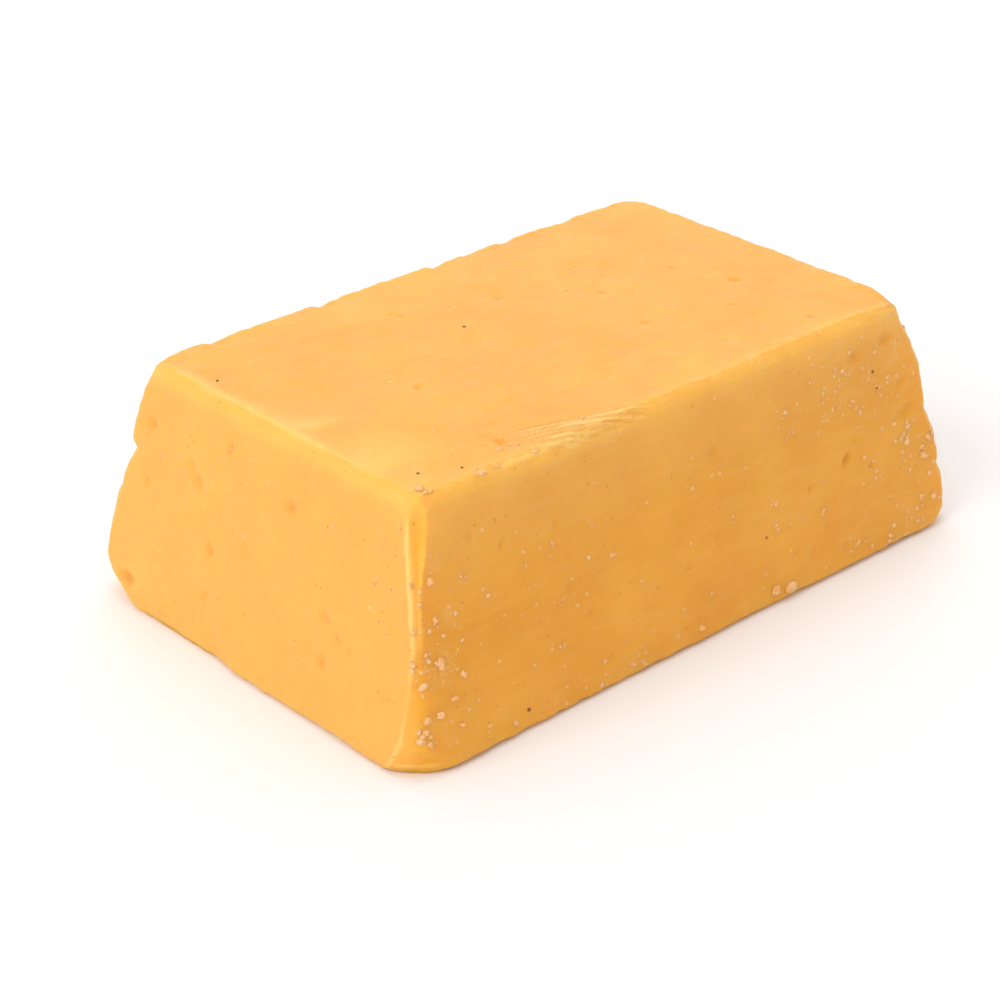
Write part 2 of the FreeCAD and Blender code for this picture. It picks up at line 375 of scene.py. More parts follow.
back_left = np.hypot(from_end, from_back)
far_front = np.hypot(from_far, from_long)
far_back = np.hypot(from_far, from_back)
TEAR_LEVEL = 18.0
TEAR_DEPTH = 1.1
tear = nick(back_left, TEAR_LEVEL, 0.7, 1.9, TEAR_DEPTH, (DIAGONAL, -DIAGONAL, 0))
nick(back_left, 21.0, 2.2, 1.2, -0.12, (DIAGONAL, -DIAGONAL, 0))
# height, how far it fades above and below, and depth, in mm
FAR_NICKS = ((25.0, 0.6, 0.9, 0.34), (14.5, 0.5, 1.4, 0.24), (7.5, 0.5, 1.2, 0.26))
for level, above, below, depth in FAR_NICKS:
    nick(far_front, level, above, below, depth, (-DIAGONAL, DIAGONAL, 0))
for level in (11.0, 19.0):
    nick(far_front, level, 2.5, 2.5, -0.2, (-DIAGONAL, DIAGONAL, 0))
for level, depth in ((21.0, 0.4), (10.5, 0.5)):
    nick(far_back, level, 0.6, 1.6, depth, (-DIAGONAL, -DIAGONAL, 0))
crack = tear * hump(height - TEAR_LEVEL, 0.5, 0.5)
# painted glow along the tear
painted_thin_glow = np.maximum(painted_thin_glow, 0.7 * crack)
print(f"deepest tear {TEAR_DEPTH * tear.max():.2f} mm")

# %% [markdown]
# ## Lips and laps on the top edges
# Where the clay met the rim of the mould it was smeared over: a thin lip runs beside the end edge, a flap
# with drag lines is folded over the long edge, and the back edge is a row of small scallops.

# %% The lip beside the end edge
on_top = smooth_step(facing["top"], 0.35, 0.8)
TOP_INSET = HEIGHT * LEAN
end_run = smooth_step(across, 9, 16) * (1 - smooth_step(across, 43, 47))
lip_line = along - TOP_INSET - 1.0 - 0.45 * smooth_noise(5.0, 2)
lip = hump(lip_line, 0.5, 0.65) * end_run * on_top
moved += normals * 0.13 * lip[:, None]
# painted glow on the lip
painted_thin_glow = np.maximum(painted_thin_glow, 0.42 * lip)
lower_lip = hump(lip_line + 1.6 + 0.3 * smooth_noise(4.0, 3), 0.4, 0.4) * end_run
moved -= normals * 0.06 * lower_lip[:, None]

# %% The flap over the long edge
flap_run = smooth_step(along, 21.0, 25.0) * (1 - smooth_step(along, 35.0, 38.5))
FLAP_SLOPE = 0.285  # how far the flap's border nears the edge for each mm along it
flap_border = 10.1 - (along - 23.5) * FLAP_SLOPE
flap_in = smooth_step(flap_border - across, -0.15, 0.25)
flap = flap_in * flap_run * smooth_step(height, 25.6, 26.6)
moved += normals * 0.13 * flap[:, None]
DRAG_GROOVES = ((-0.15, 0.13), (0.5, 0.10), (1.0, 0.08), (1.7, 0.12), (2.5, 0.10), (3.2, 0.08))
for shift, depth in DRAG_GROOVES:
    line = across - flap_border + shift + 0.10 * smooth_noise(3.5, 4)
    drag = hump(line, 0.17, 0.22) * flap_run * on_top * (1 - smooth_step(across, 10, 11))
    moved -= normals * depth * drag[:, None]
    # painted shade in the drag grooves
    painted_hollow_shade = np.maximum(painted_hollow_shade, 4.0 * depth * drag)
smear = flap_run * smooth_step(flap_border - across, -0.7, 0.3) * on_top
flap_crest = hump(across - flap_border + 0.25, 0.2, 0.2) * flap_run * on_top
edge_crest = hump(across - TOP_INSET - 0.55 - 0.2 * smooth_noise(2.0, 15), 0.28, 0.28) * (height > 25)
edge_crest *= smooth_step(along, 15, 18) * (1 - smooth_step(along, 30, 33))
moved += normals * 0.12 * edge_crest[:, None]
under_flap = hump(height - 25.7 - 0.045 * (along - 24) - 0.3 * smooth_noise(3.0, 5), 0.7, 0.45)
under_flap *= smooth_step(along, 14, 18) * (1 - smooth_step(along, 33, 39))
under_flap *= smooth_step(facing["long"], 0.5, 0.9)
moved -= normals * 0.13 * under_flap[:, None]
# painted glow on the flap and its crests
painted_thin_glow = np.maximum(painted_thin_glow, 0.6 * flap_crest)
painted_thin_glow = np.maximum(painted_thin_glow, 0.55 * edge_crest)
painted_thin_glow = np.maximum(painted_thin_glow, 0.18 * flap)
print("points on the flap:", int((flap > 0.5).sum()))

# %% Scallops on the back edge, and slow waves on every edge
back_edge = np.exp(-((np.hypot(under["back"], under["top"]) / 2.4) ** 2))
SCALLOPS = ((7.0, 0.12), (13.5, 0.32), (19.0, 0.1), (28.5, 0.34), (45.5, 0.32), (50.5, 0.22))
for place, depth in SCALLOPS + ((56.5, 0.26), (66.0, 0.1), (73.0, 0.15)):
    scallop = hump(along - place, 0.6, 2.6) * back_edge * depth
    moved[:, 1] -= scallop
    moved[:, 2] -= 0.8 * scallop
wave = 0.17 * smooth_noise(6.5, 6) + 0.13 * smooth_noise(2.3, 7) + 0.12 * smooth_noise(1.1, 8)
moved += normals * (wave * near_edge)[:, None]
print("lips, flap and scallops done")

# %% [markdown]
# ## Hollows in the faces
# Air trapped against the mould left round pits, and fingers and the bench left shallow dimples. The large
# ones are listed one by one, to the nearest half millimetre, and a seeded scatter adds small ones all round.

# %% Pits and dimples
def dent(face, first, second, half_first, half_second, depth, turn=0.0):
    """Sink an oval hollow into a face, and mark painted shade in it; its long way may be turned by some
    degrees.
    """
    one, two = RULERS[face]
    cos, sin = math.cos(math.radians(turn)), math.sin(math.radians(turn))
    d_one, d_two = one - first, two - second
    oval = ((d_one * cos + d_two * sin) / half_first) ** 2 + ((d_two * cos - d_one * sin) / half_second) ** 2
    on_face = smooth_step(facing[face], 0.55, 0.85) * (under[face] < 3)
    bowl = np.exp(-oval) * on_face
    rim = np.exp(-((np.sqrt(oval) - 1.7) ** 2) * 3) * on_face
    moved[:] -= np.outer(depth * (bowl - 0.12 * rim), OUTWARD[face])
    painted_hollow_shade[:] = np.maximum(painted_hollow_shade, bowl * min(1.0, 2.0 * depth))


LARGE_DENTS = (
    # face, place, half length, half width and depth in mm, turn in degrees
    ("end", 46.5, 22.0, 0.7, 0.7, 0.30, 0),
    ("end", 46.5, 15.5, 0.6, 0.5, 0.22, 0),
    ("end", 38.0, 18.5, 0.9, 0.7, 0.30, 25),
    ("end", 23.0, 21.0, 0.9, 0.8, 0.32, 0),
    ("end", 29.5, 14.0, 1.2, 0.9, 0.16, 0),
    ("end", 33.5, 23.5, 0.4, 0.7, 0.26, 20),
    ("end", 18.0, 8.0, 1.0, 0.7, 0.16, 0),
    ("end", 48.5, 3.5, 1.0, 0.8, 0.45, 0),
    ("long", 66.5, 13.0, 0.9, 0.5, 0.42, 45),
    ("long", 70.5, 11.0, 0.5, 0.4, 0.30, 0),
    ("long", 60.0, 11.5, 0.5, 0.3, 0.22, 60),
    ("long", 15.0, 20.5, 0.7, 0.32, 0.24, 55),
    ("long", 69.0, 24.0, 0.9, 0.6, 0.26, 0),
    ("long", 74.5, 24.5, 1.2, 0.7, 0.32, 0),
    ("long", 76.5, 19.0, 0.8, 0.4, 0.20, 40),
    ("long", 77.0, 15.5, 1.6, 0.6, 0.26, 12),
    ("top", 65.5, 29.5, 0.5, 0.5, 0.18, 0),
    ("top", 63.0, 17.5, 1.0, 0.28, 0.12, -20),
    ("top", 20.0, 9.5, 0.45, 0.9, 0.30, 0),
)
for mark in LARGE_DENTS:
    dent(*mark)

picker = np.random.default_rng(20)
SPANS = {"long": (6, 79, 3, 24), "back": (6, 79, 3, 24), "end": (6, 49, 3, 24)}
SPANS.update({"far": (6, 49, 3, 24), "top": (9, 76, 9, 46), "base": (4, 81, 4, 51)})
SCATTER = {"long": 22, "back": 34, "end": 16, "far": 20, "top": 9, "base": 26}
for face, count in SCATTER.items():
    low_one, high_one, low_two, high_two = SPANS[face]
    for _ in range(count):
        half = picker.uniform(0.3, 0.9)
        place = picker.uniform(low_one, high_one), picker.uniform(low_two, high_two)
        dent(face, *place, half, half * picker.uniform(0.5, 1), 0.3 * half, picker.uniform(0, 180))

# a raised ring, as a burst bubble leaves, on the top
ring = np.hypot((along - 57.5) / 1.35, across - 15.6)
moved[:, 2] += 0.10 * on_top * np.exp(-(((ring - 1.25) / 0.32) ** 2))
print("dents:", len(LARGE_DENTS) + sum(SCATTER.values()))

# %% [markdown]
# ## Faces that are nearly flat
# A hand-sized lump of clay is never truly flat. Slow waves a tenth of a millimetre high bend the light
# across a face, and the long base edge is bowed in a little. The base stays flat, since the bar rests on
# it.

# %% Slow waves, the bowed base edge, and the finished skin
WAVE = 0.13
roll = WAVE * smooth_noise(17.0, 9) + 0.05 * smooth_noise(6.0, 10) + 0.022 * smooth_noise(2.0, 11)
roll += 0.014 * smooth_noise(1.4, 12, stretch=(5, 1, 1)) * on_top
moved += normals * (roll * (1 - 0.9 * smooth_step(facing["base"], 0.3, 0.9)))[:, None]

bow = 0.4 * np.sin(np.pi * np.clip(along / LENGTH, 0, 1)) * (1 - smooth_step(height, 0, 7))
moved[:, 1] += bow * smooth_step(facing["long"], -0.3, 0.6)
step_in = 0.55 * smooth_step(across, 29, 33) * (1 - smooth_step(height, 0, 6))
moved[:, 0] += step_in * smooth_step(facing["end"], -0.3, 0.6)

BREATHING_ROOM = 0.02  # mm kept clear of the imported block's own box
sculpted = points + moved
low = np.array(block_low) / MM + BREATHING_ROOM
high = np.array(block_high) / MM - BREATHING_ROOM
low[2] = 0
on_box = np.clip(sculpted, low, high)
print(f"sculpting moved points by up to {np.linalg.norm(moved, axis=1).max():.2f} mm")
pressed = (np.abs(sculpted - on_box) > 0.001).any(axis=1)
print("points pressed back into the packed box:", int(pressed.sum()))
set_points(block, on_box)

# %% [markdown]
# ## Notes for the materials
# The material needs to know where clay is thin or hollow, where the edges glow and where the channel between
# the ridges is, where the flap smeared over, where dust lies, and which faces the lamps light most. The glow
# on thin clay and edges, the shade in hollows and the paler lit faces are painted light and shade. Each is a
# number from 0 to 1 stored at the mesh's points, so it stays with the surface.

# %% Store the notes, and thin the mesh
# Painted glow: the top edges and the top of the front corner are marked to be painted paler and yellower, as
# light through thin clay makes them.
end_glow = np.exp(-((np.hypot(under["end"], under["top"]) / 1.9) ** 2))
long_glow = 0.85 * np.exp(-((np.hypot(under["long"], 0.7 * under["top"]) / 2.0) ** 2))
back_glow = 0.5 * np.exp(-((np.hypot(under["back"], under["top"]) / 1.6) ** 2))
painted_edge_glow = np.maximum(np.maximum(end_glow, long_glow), back_glow)
between = smooth_step(share, -0.5, 0.5) * (1 - smooth_step(share, 0.8, 1.15))
channel = np.where(near_front, between * smooth_step(press, 0.0, 0.35), 0)
channel *= np.interp(height, (0, 3, 12, 17, 24, 27), (0.35, 0.4, 0.5, 1.0, 1.0, 0.3))
painted_edge_glow = np.maximum(painted_edge_glow, np.exp(-((corner_gap("end", "long") / 4.5) ** 2)))
painted_edge_glow *= 0.75 + 0.35 * smooth_noise(4.0, 13)

on_long = smooth_step(facing["long"], 0.5, 0.85)
dust = 0.16 + 0.12 * on_long
dust += 0.62 * on_long * (1 - smooth_step(along, 6, 14)) * (1 - 0.5 * smooth_step(height, 18, 27))
dust += 0.62 * on_long * smooth_step(along, 56, 66) * smooth_step(height, 12, 20)
dust += 0.50 * on_long * smooth_step(along, 74, 81)
dust += 0.34 * on_long * (1 - smooth_step(height, 1, 6))
dust += 0.40 * smooth_step(facing["far"], 0.5, 0.85)
dust *= 1 - 0.75 * smooth_step(facing["top"], 0.5, 0.95)
dust = np.clip(dust * (0.85 + 0.5 * smooth_noise(6.0, 14)), 0, 1)


def note(piece, name, values):
    """Store one number at each point of a piece."""
    attribute = piece.data.attributes.new(name, "FLOAT", "POINT")
    attribute.data.foreach_set("value", np.clip(values, 0, 1).astype(np.float32))


note(block, "painted_thin_glow", painted_thin_glow)
note(block, "painted_hollow_shade", painted_hollow_shade)
note(block, "painted_edge_glow", painted_edge_glow)
note(block, "channel", channel)
note(block, "dust", dust)
note(block, "smear", smear)
# painted light: the end face and the upper part of the long face are marked to be painted paler, as the lamps
# light them
note(block, "painted_lit_faces", smooth_step(facing["end"], 0.5, 0.9) + 0.5 * on_long * smooth_step(height, 16, 25))

TRIANGLE_GOAL = 194000
triangles = sum(len(face.vertices) - 2 for face in block.data.polygons)
modify(block, "TRIANGULATE")
modify(block, "DECIMATE", ratio=TRIANGLE_GOAL / triangles)
print(f"skin thinned from {triangles} to {len(block.data.polygons)} triangles")
work_on(block)
bpy.ops.object.shade_smooth()

# %% [markdown]
# ## Crumbs and flecks
# Dried clay that flaked off has stuck back on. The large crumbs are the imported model's own solids: each
# group is copied, merged, remeshed and roughened, so it starts from its place and size. Round them lie
# hundreds of tiny flecks, too small to be parts. One ragged pebble is modelled, and every fleck is a turned
# and squashed copy of it.

# %% Roughen the large crumbs and the grit
def lumpy(size, detail):
    """A cloud texture whose lumps are this many millimetres across."""
    clouds = bpy.data.textures.new(f"lumps_{size}", "CLOUDS")
    clouds.noise_scale = size * MM
    clouds.noise_depth = detail
    return clouds


def rough_copy(node, name, grid, lump, strength):
    """Copy a packed group of small solids, merge it, and make its surface ragged."""
    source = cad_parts[node]
    piece = bpy.data.objects.new(name, source.data.copy())
    bpy.context.scene.collection.objects.link(piece)
    work_on(piece)
    bpy.ops.object.mode_set(mode="EDIT")
    bpy.ops.mesh.select_all(action="SELECT")
    bpy.ops.mesh.remove_doubles(threshold=0.001 * MM)
    bpy.ops.mesh.normals_make_consistent(inside=False)
    bpy.ops.object.mode_set(mode="OBJECT")
    modify(piece, "REMESH", mode="VOXEL", voxel_size=grid * MM)
    modify(piece, "DISPLACE", texture=lumpy(lump, 2), strength=strength * MM, mid_level=0.7)
    modify(piece, "SMOOTH", factor=0.3, iterations=1)
    print(f"{name}: {len(piece.data.polygons)} faces")
    return piece


CRUMB_GROUPS = ("base_edge_crumbs", "front_corner_crumbs", "far_end_crumbs")
CRUMB_ROUGHNESS = (0.09, 0.32, 0.5)  # mm: the grid, the size of a lump, and the push from lowest to highest
GRIT_ROUGHNESS = (0.05, 0.25, 0.12)
GRIT_SHARE = 0.12  # share of the grit's faces that is kept, which makes its facets
crumb_pieces = {group: rough_copy(group, f"{group}_skin", *CRUMB_ROUGHNESS) for group in CRUMB_GROUPS}
grit = rough_copy("grit_grains", "grit_grains_skin", *GRIT_ROUGHNESS)
modify(grit, "DECIMATE", ratio=GRIT_SHARE)

# %% [markdown]
# ## Seating the lumps
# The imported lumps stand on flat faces, and the sculpted skin has sunk a little under some of them. Each
# lump is slid straight in until its root is under the skin, so that none hangs in the air.

# %% Slide each lump onto the skin
ROOT_DEPTH = 0.12  # mm of a lump's root that is under the skin


def lumps_of(piece):
    """The numbers of the points in each separate lump of a piece."""
    mesh = bmesh.new()
    mesh.from_mesh(piece.data)
    left = set(mesh.verts)
    found = []
    while left:
        waiting = [left.pop()]
        lump = []
        while waiting:
            vert = waiting.pop()
            lump.append(vert.index)
            beside = {edge.other_vert(vert) for edge in vert.link_edges} & left
            left -= beside
            waiting.extend(beside)
        found.append(sorted(lump))
    mesh.free()
    return sorted(found)


def root_gap(lump_points):
    """How far a lump's root is above the skin, and the way out of the skin there."""
    heights = []
    for place in lump_points:
        _, skin, outward, _ = block.closest_point_on_mesh(Vector(place) * MM)
        heights.append((Vector(place) - skin / MM).dot(outward))
    _, _, outward, _ = block.closest_point_on_mesh(Vector(lump_points.mean(axis=0)) * MM)
    return min(heights), np.array(outward)


for piece in (*crumb_pieces.values(), grit):
    places = get_points(piece)
    gaps = []
    for lump in lumps_of(piece):
        gap, outward = root_gap(places[lump])
        gaps.append(round(gap, 2))
        places[lump] -= outward * max(0, gap + ROOT_DEPTH)
    set_points(piece, places)
    print(f"{piece.name}: gaps under the roots before seating, in mm: {gaps}")

# %% The pebble, and where flecks lie
FLECKS = (
    # group, face, from and to the first way, from and to the second way, how many, radius in mm
    ("front_corner_crumbs", "long", 1.5, 5.0, 2.0, 13.0, 26, 0.34),
    ("front_corner_crumbs", "long", 3.0, 9.5, 3.0, 25.0, 34, 0.25),
    ("front_corner_crumbs", "long", 9.5, 30.0, 5.0, 26.0, 50, 0.22),
    ("front_corner_crumbs", "end", 3.5, 20.0, 1.5, 26.0, 26, 0.22),
    ("front_corner_crumbs", "end", 20.0, 50.0, 1.5, 25.0, 26, 0.20),
    ("front_corner_crumbs", "top", 7.0, 36.0, 6.0, 8.5, 34, 0.26),
    ("front_corner_crumbs", "top", 8.0, 60.0, 9.0, 46.0, 16, 0.18),
    ("base_edge_crumbs", "long", 5.0, 80.0, 1.0, 3.5, 60, 0.25),
    ("base_edge_crumbs", "long", 30.0, 72.0, 3.0, 22.0, 60, 0.22),
    ("far_end_crumbs", "long", 55.0, 79.0, 16.0, 25.5, 84, 0.24),
    ("far_end_crumbs", "long", 76.0, 82.0, 1.0, 14.0, 40, 0.30),
    ("far_end_crumbs", "long", 68.0, 79.0, 2.0, 16.0, 26, 0.22),
    ("far_end_crumbs", "far", 5.0, 50.0, 1.5, 25.0, 70, 0.23),
    ("far_end_crumbs", "back", 5.0, 80.0, 1.5, 25.0, 90, 0.23),
)
LARGE_FLECKS = (
    # group, face, place, half length, half width in mm, turn in degrees
    ("front_corner_crumbs", "end", 9.5, 18.5, 0.50, 0.17, 84),
    ("front_corner_crumbs", "top", 7.5, 7.5, 0.50, 0.45, 20),
    ("front_corner_crumbs", "top", 21.5, 6.0, 0.50, 0.20, -25),
    ("front_corner_crumbs", "long", 3.0, 10.0, 0.60, 0.35, 30),
    ("front_corner_crumbs", "long", 3.0, 6.5, 0.55, 0.38, 20),
    ("front_corner_crumbs", "long", 2.0, 5.0, 0.38, 0.30, 50),
    ("base_edge_crumbs", "long", 62.0, 8.5, 0.36, 0.24, 60),
    ("base_edge_crumbs", "long", 42.0, 17.5, 0.30, 0.22, 45),
    ("base_edge_crumbs", "long", 39.0, 5.0, 0.32, 0.20, 70),
    ("far_end_crumbs", "long", 67.0, 23.0, 0.32, 0.26, 30),
    ("far_end_crumbs", "long", 75.0, 14.5, 0.38, 0.26, -20),
    ("far_end_crumbs", "long", 75.0, 12.5, 0.40, 0.26, -15),
    ("far_end_crumbs", "long", 79.0, 3.5, 0.36, 0.17, 0),
    ("far_end_crumbs", "long", 76.0, 2.0, 0.32, 0.16, 60),
)


PEBBLE_SHARE = 0.6  # keeps 48 of the ball's 80 faces


def make_pebble():
    """One ragged ball of radius 1, as rows of points and its faces."""
    bpy.ops.object.select_all(action="DESELECT")
    bpy.ops.mesh.primitive_ico_sphere_add(subdivisions=2, radius=1)
    ball = bpy.context.object
    modify(ball, "DECIMATE", ratio=PEBBLE_SHARE)
    shape = np.array([vert.co for vert in ball.data.vertices])
    ragged = np.array([noise.noise(Vector(place) * 1.7) for place in shape])
    faces = np.array([face.vertices for face in ball.data.polygons])
    bpy.data.objects.remove(ball)
    return shape * (1 + 0.55 * ragged)[:, None], faces


def place_on(face, first, second):
    """A ruler reading on a face as a point in millimetres."""
    inset = second * LEAN
    return {
        "long": (first - LENGTH / 2, inset - WIDTH / 2, second),
        "back": (first - LENGTH / 2, WIDTH / 2 - inset, second),
        "end": (inset - LENGTH / 2, first - WIDTH / 2, second),
        "far": (LENGTH / 2 - inset, first - WIDTH / 2, second),
        "top": (first - LENGTH / 2, second - WIDTH / 2, HEIGHT),
    }[face]


# %% Scatter the flecks over the skin
pebble, pebble_faces = make_pebble()
chooser = np.random.default_rng(8)
fleck_jobs = {group: [] for group in crumb_pieces}
for group, face, *spot, half_long, half_wide, turn in LARGE_FLECKS:
    fleck_jobs[group].append((face, *spot, half_long, half_wide, math.radians(turn)))
HUDDLE = 0.55  # share of flecks that lie beside the one before, as flaked clay does
for group, face, low_one, high_one, low_two, high_two, count, radius in FLECKS:
    lowest, highest = (low_one, low_two), (high_one, high_two)
    spot = chooser.uniform(lowest, highest)
    for _ in range(count):
        beside = chooser.uniform() < HUDDLE
        spot = spot + chooser.normal(0, 0.9, 2) if beside else chooser.uniform(lowest, highest)
        spot = np.clip(spot, lowest, highest)
        size = radius * (0.4 + 1.1 * chooser.uniform() ** 2)
        slim = chooser.uniform(0.4, 0.95)
        fleck_jobs[group].append((face, *spot, size, size * slim, chooser.uniform(0, math.pi)))

FLECK_SUNK = 0.45  # share of a fleck's thickness that is under the skin
for group, jobs in fleck_jobs.items():
    rows, faces = [], []
    for face, first, second, half_long, half_wide, turn in jobs:
        _, place, normal, _ = block.closest_point_on_mesh(Vector(place_on(face, first, second)) * MM)
        level = Vector((0, 0, 1)) if abs(normal.z) < 0.9 else Vector((0, 1, 0))
        sideways = normal.cross(level).normalized()
        on_skin = Matrix((sideways, normal.cross(sideways), normal)).transposed()
        fleck_turn = on_skin @ Matrix.Rotation(turn, 3, "Z")
        spin = Matrix.Rotation(chooser.uniform(0, 6.3), 3, "Z")
        thickness = 0.45 * half_wide
        scale = np.array((half_long, half_wide, thickness))
        local = (pebble @ np.array(spin)) * scale + np.array((0, 0, thickness * (0.5 - FLECK_SUNK)))
        rows.append(local @ np.array(fleck_turn).T * MM + np.array(place))
        faces.append(pebble_faces + len(pebble) * len(faces))
    mesh = bpy.data.meshes.new(f"{group}_flecks")
    mesh.from_pydata(np.concatenate(rows).tolist(), [], np.concatenate(faces).tolist())
    flecks = bpy.data.objects.new(f"{group}_flecks", mesh)
    bpy.context.scene.collection.objects.link(flecks)
    work_on(crumb_pieces[group])
    flecks.select_set(True)
    bpy.ops.object.join()
    print(f"{group}: {len(jobs)} flecks, {len(crumb_pieces[group].data.polygons)} faces in all")

# %% [markdown]
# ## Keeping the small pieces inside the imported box
# A fleck on the outermost edge could stand a few hundredths of a millimetre past the block, or under the
# surface it rests on. The points that do are pressed back.

# %% Press stray points back, and smooth the crumbs' shading
model_low = np.array(cad_bounds[0]) / MM + BREATHING_ROOM / 2
model_high = np.array(cad_bounds[1]) / MM - BREATHING_ROOM / 2
for piece in (*crumb_pieces.values(), grit):
    set_points(piece, np.clip(get_points(piece), model_low, model_high))
    work_on(piece)
    bpy.ops.object.shade_smooth()
work_on(grit)
bpy.ops.object.shade_flat()

# %% [markdown]
# ## Colour, and a helper for nodes
# Colours are chosen as sRGB hex, as a paint program shows them, and turned to the linear values that the
# renderer works in. One helper adds any node: settings are attributes, and each input takes a value or
# another node's output.

# %% Helpers for materials
def to_linear(hex_colour):
    """An sRGB hex colour as linear red, green, blue and alpha."""
    parts = [int(hex_colour[i : i + 2], 16) / 255 for i in (1, 3, 5)]
    return (*[c / 12.92 if c <= 0.04045 else ((c + 0.055) / 1.055) ** 2.4 for c in parts], 1)


def add(tree, kind, inputs, output=0, **settings):
    """Add a node, make its settings, fill or link its inputs, and return one of its outputs."""
    added = tree.nodes.new("ShaderNode" + kind)
    for name, value in settings.items():
        setattr(added, name, value)
    for name, value in inputs.items():
        if isinstance(value, bpy.types.NodeSocket):
            tree.links.new(value, added.inputs[name])
        else:
            added.inputs[name].default_value = value
    return added.outputs[output]


# A Map Range node's inputs are numbered: 0 the value, 1 and 2 the range it comes from, 3 and 4 the new range.
# A Mix node's are 0 the amount, 6 the colour below and 7 the one laid over it, and its colour output is 2.
MIX = {"output": 2, "data_type": "RGBA"}


def start_material(name):
    """A new material, with its shader and the object's own coordinates in millimetres."""
    material = bpy.data.materials.new(name)
    material.use_nodes = True
    tree = material.node_tree
    place = add(tree, "TexCoord", {}, output="Object")
    in_mm = add(tree, "VectorMath", {0: place, "Scale": 1 / MM}, operation="SCALE")
    return material, tree, tree.nodes["Principled BSDF"], in_mm


def lay_colours(tree, colour, layers):
    """Lay colours over one another.

    A layer is a pattern, the values at which it starts and is full, its greatest strength, and its colour.
    """
    for pattern, start, full, most, hex_colour in layers:
        amount = add(tree, "MapRange", {0: pattern, 1: start, 2: full, 4: most})
        colour = add(tree, "Mix", {0: amount, 6: colour, 7: to_linear(hex_colour)}, **MIX)
    return colour


# %% [markdown]
# ## Kneaded polymer clay, pressed in a mould
# Detailing clay is a waxy synthetic clay filled with fine powder. Light goes a millimetre or two into it,
# so edges and thin lips glow and hollows look deeper in colour. The colour also has light and shade painted
# into it: a painted glow on edges, ridges and thin lips, painted shade in hollows, pores and drag grooves, a
# painted highlight on the drag ridges, and the end face and upper long face painted paler where the lamps
# light them. Kneading leaves faint long streaks, air leaves pores, and the tacky surface holds dust: frosty
# patches, pale specks and a few dark ones. The surface is satin, rougher where dust lies.

# %% The clay: kneading, and what the skin remembers
clay, tree, shader, mm = start_material("kneaded_moulded_clay")
notes = {
    name: add(tree, "Attribute", {}, output="Fac", attribute_name=name)
    for name in ("painted_edge_glow", "channel", "painted_thin_glow", "painted_hollow_shade", "dust", "smear", "painted_lit_faces")
}
lengthwise = add(tree, "Mapping", {"Vector": mm, "Scale": (0.2, 1.0, 0.8)})

DRAG_TURN = math.atan(FLAP_SLOPE)  # the flap was dragged at this angle to the bar's length
turned = add(tree, "Mapping", {"Vector": mm, "Rotation": (0, 0, DRAG_TURN)})
drawn = add(tree, "Mapping", {"Vector": turned, "Scale": (0.07, 1.0, 1.0)})

PATTERNS = {
    # name: where it is read, the size of its lumps in mm, detail, roughness
    "mottle": (mm, 8.0, 3, 0.5),
    "streak": (lengthwise, 0.9, 3, 0.6),
    "drag": (drawn, 0.42, 3, 0.65),
    "frost_patch": (mm, 3.2, 2, 0.5),
    "frost_grain": (mm, 0.32, 2, 0.5),
    "grain": (mm, 0.45, 4, 0.6),
    "wax": (mm, 2.4, 3, 0.5),
    "lumps": (mm, 0.8, 4, 0.65),
}
noises = {
    name: add(tree, "TexNoise", {"Vector": place, "Scale": 1 / size, "Detail": detail, "Roughness": rough})
    for name, (place, size, detail, rough) in PATTERNS.items()
}
# The drag lines: raised ridges painted paler, a painted highlight, and sunk grooves painted deeper, a painted
# shade.
drag_high = add(tree, "MapRange", {0: noises["drag"], 1: 0.5, 2: 0.6})
drag_low = add(tree, "MapRange", {0: noises["drag"], 1: 0.5, 2: 0.38})
drag_ridge_and_highlight = add(tree, "Math", {0: drag_high, 1: notes["smear"]}, operation="MULTIPLY")
drag_groove_and_shade = add(tree, "Math", {0: drag_low, 1: notes["smear"]}, operation="MULTIPLY")

# %% The clay: frost, specks and pores
patchy = add(tree, "MapRange", {0: noises["frost_patch"], 1: 0.48, 2: 0.66})
grainy = add(tree, "MapRange", {0: noises["frost_grain"], 1: 0.46, 2: 0.62})
frost = add(tree, "Math", {0: patchy, 1: grainy}, operation="MULTIPLY")
frost = add(tree, "Math", {0: frost, 1: notes["dust"]}, operation="MULTIPLY")


def specks(spacing, radius, share, seed):
    """1 inside a scatter of dots. The share is how many of the cells, one per spacing, hold a dot."""
    shifted = add(tree, "VectorMath", {0: mm, 1: (seed, seed * 2, seed * 3)}, operation="ADD")
    distance = add(tree, "TexVoronoi", {"Vector": shifted, "Scale": 1 / spacing}, output="Distance")
    cell = add(tree, "TexVoronoi", {"Vector": shifted, "Scale": 1 / spacing}, output="Color")
    dot = add(tree, "MapRange", {0: distance, 1: radius / spacing, 2: 0.55 * radius / spacing})
    chance = add(tree, "SeparateColor", {0: cell})
    chosen = add(tree, "Math", {0: chance, 1: share}, operation="LESS_THAN")
    return add(tree, "Math", {0: dot, 1: chosen}, operation="MULTIPLY")


dusty_share = add(tree, "Math", {0: notes["dust"], 1: 0.55}, operation="MULTIPLY")
pale = specks(1.4, 0.27, dusty_share, 3.1)
faint = specks(0.9, 0.17, 0.16, 5.7)
dark = specks(5.5, 0.16, 0.16, 9.2)
# pores: small pits, painted deeper inside, a painted shade
pore_and_painted_shade = specks(1.3, 0.17, 0.3, 7.4)

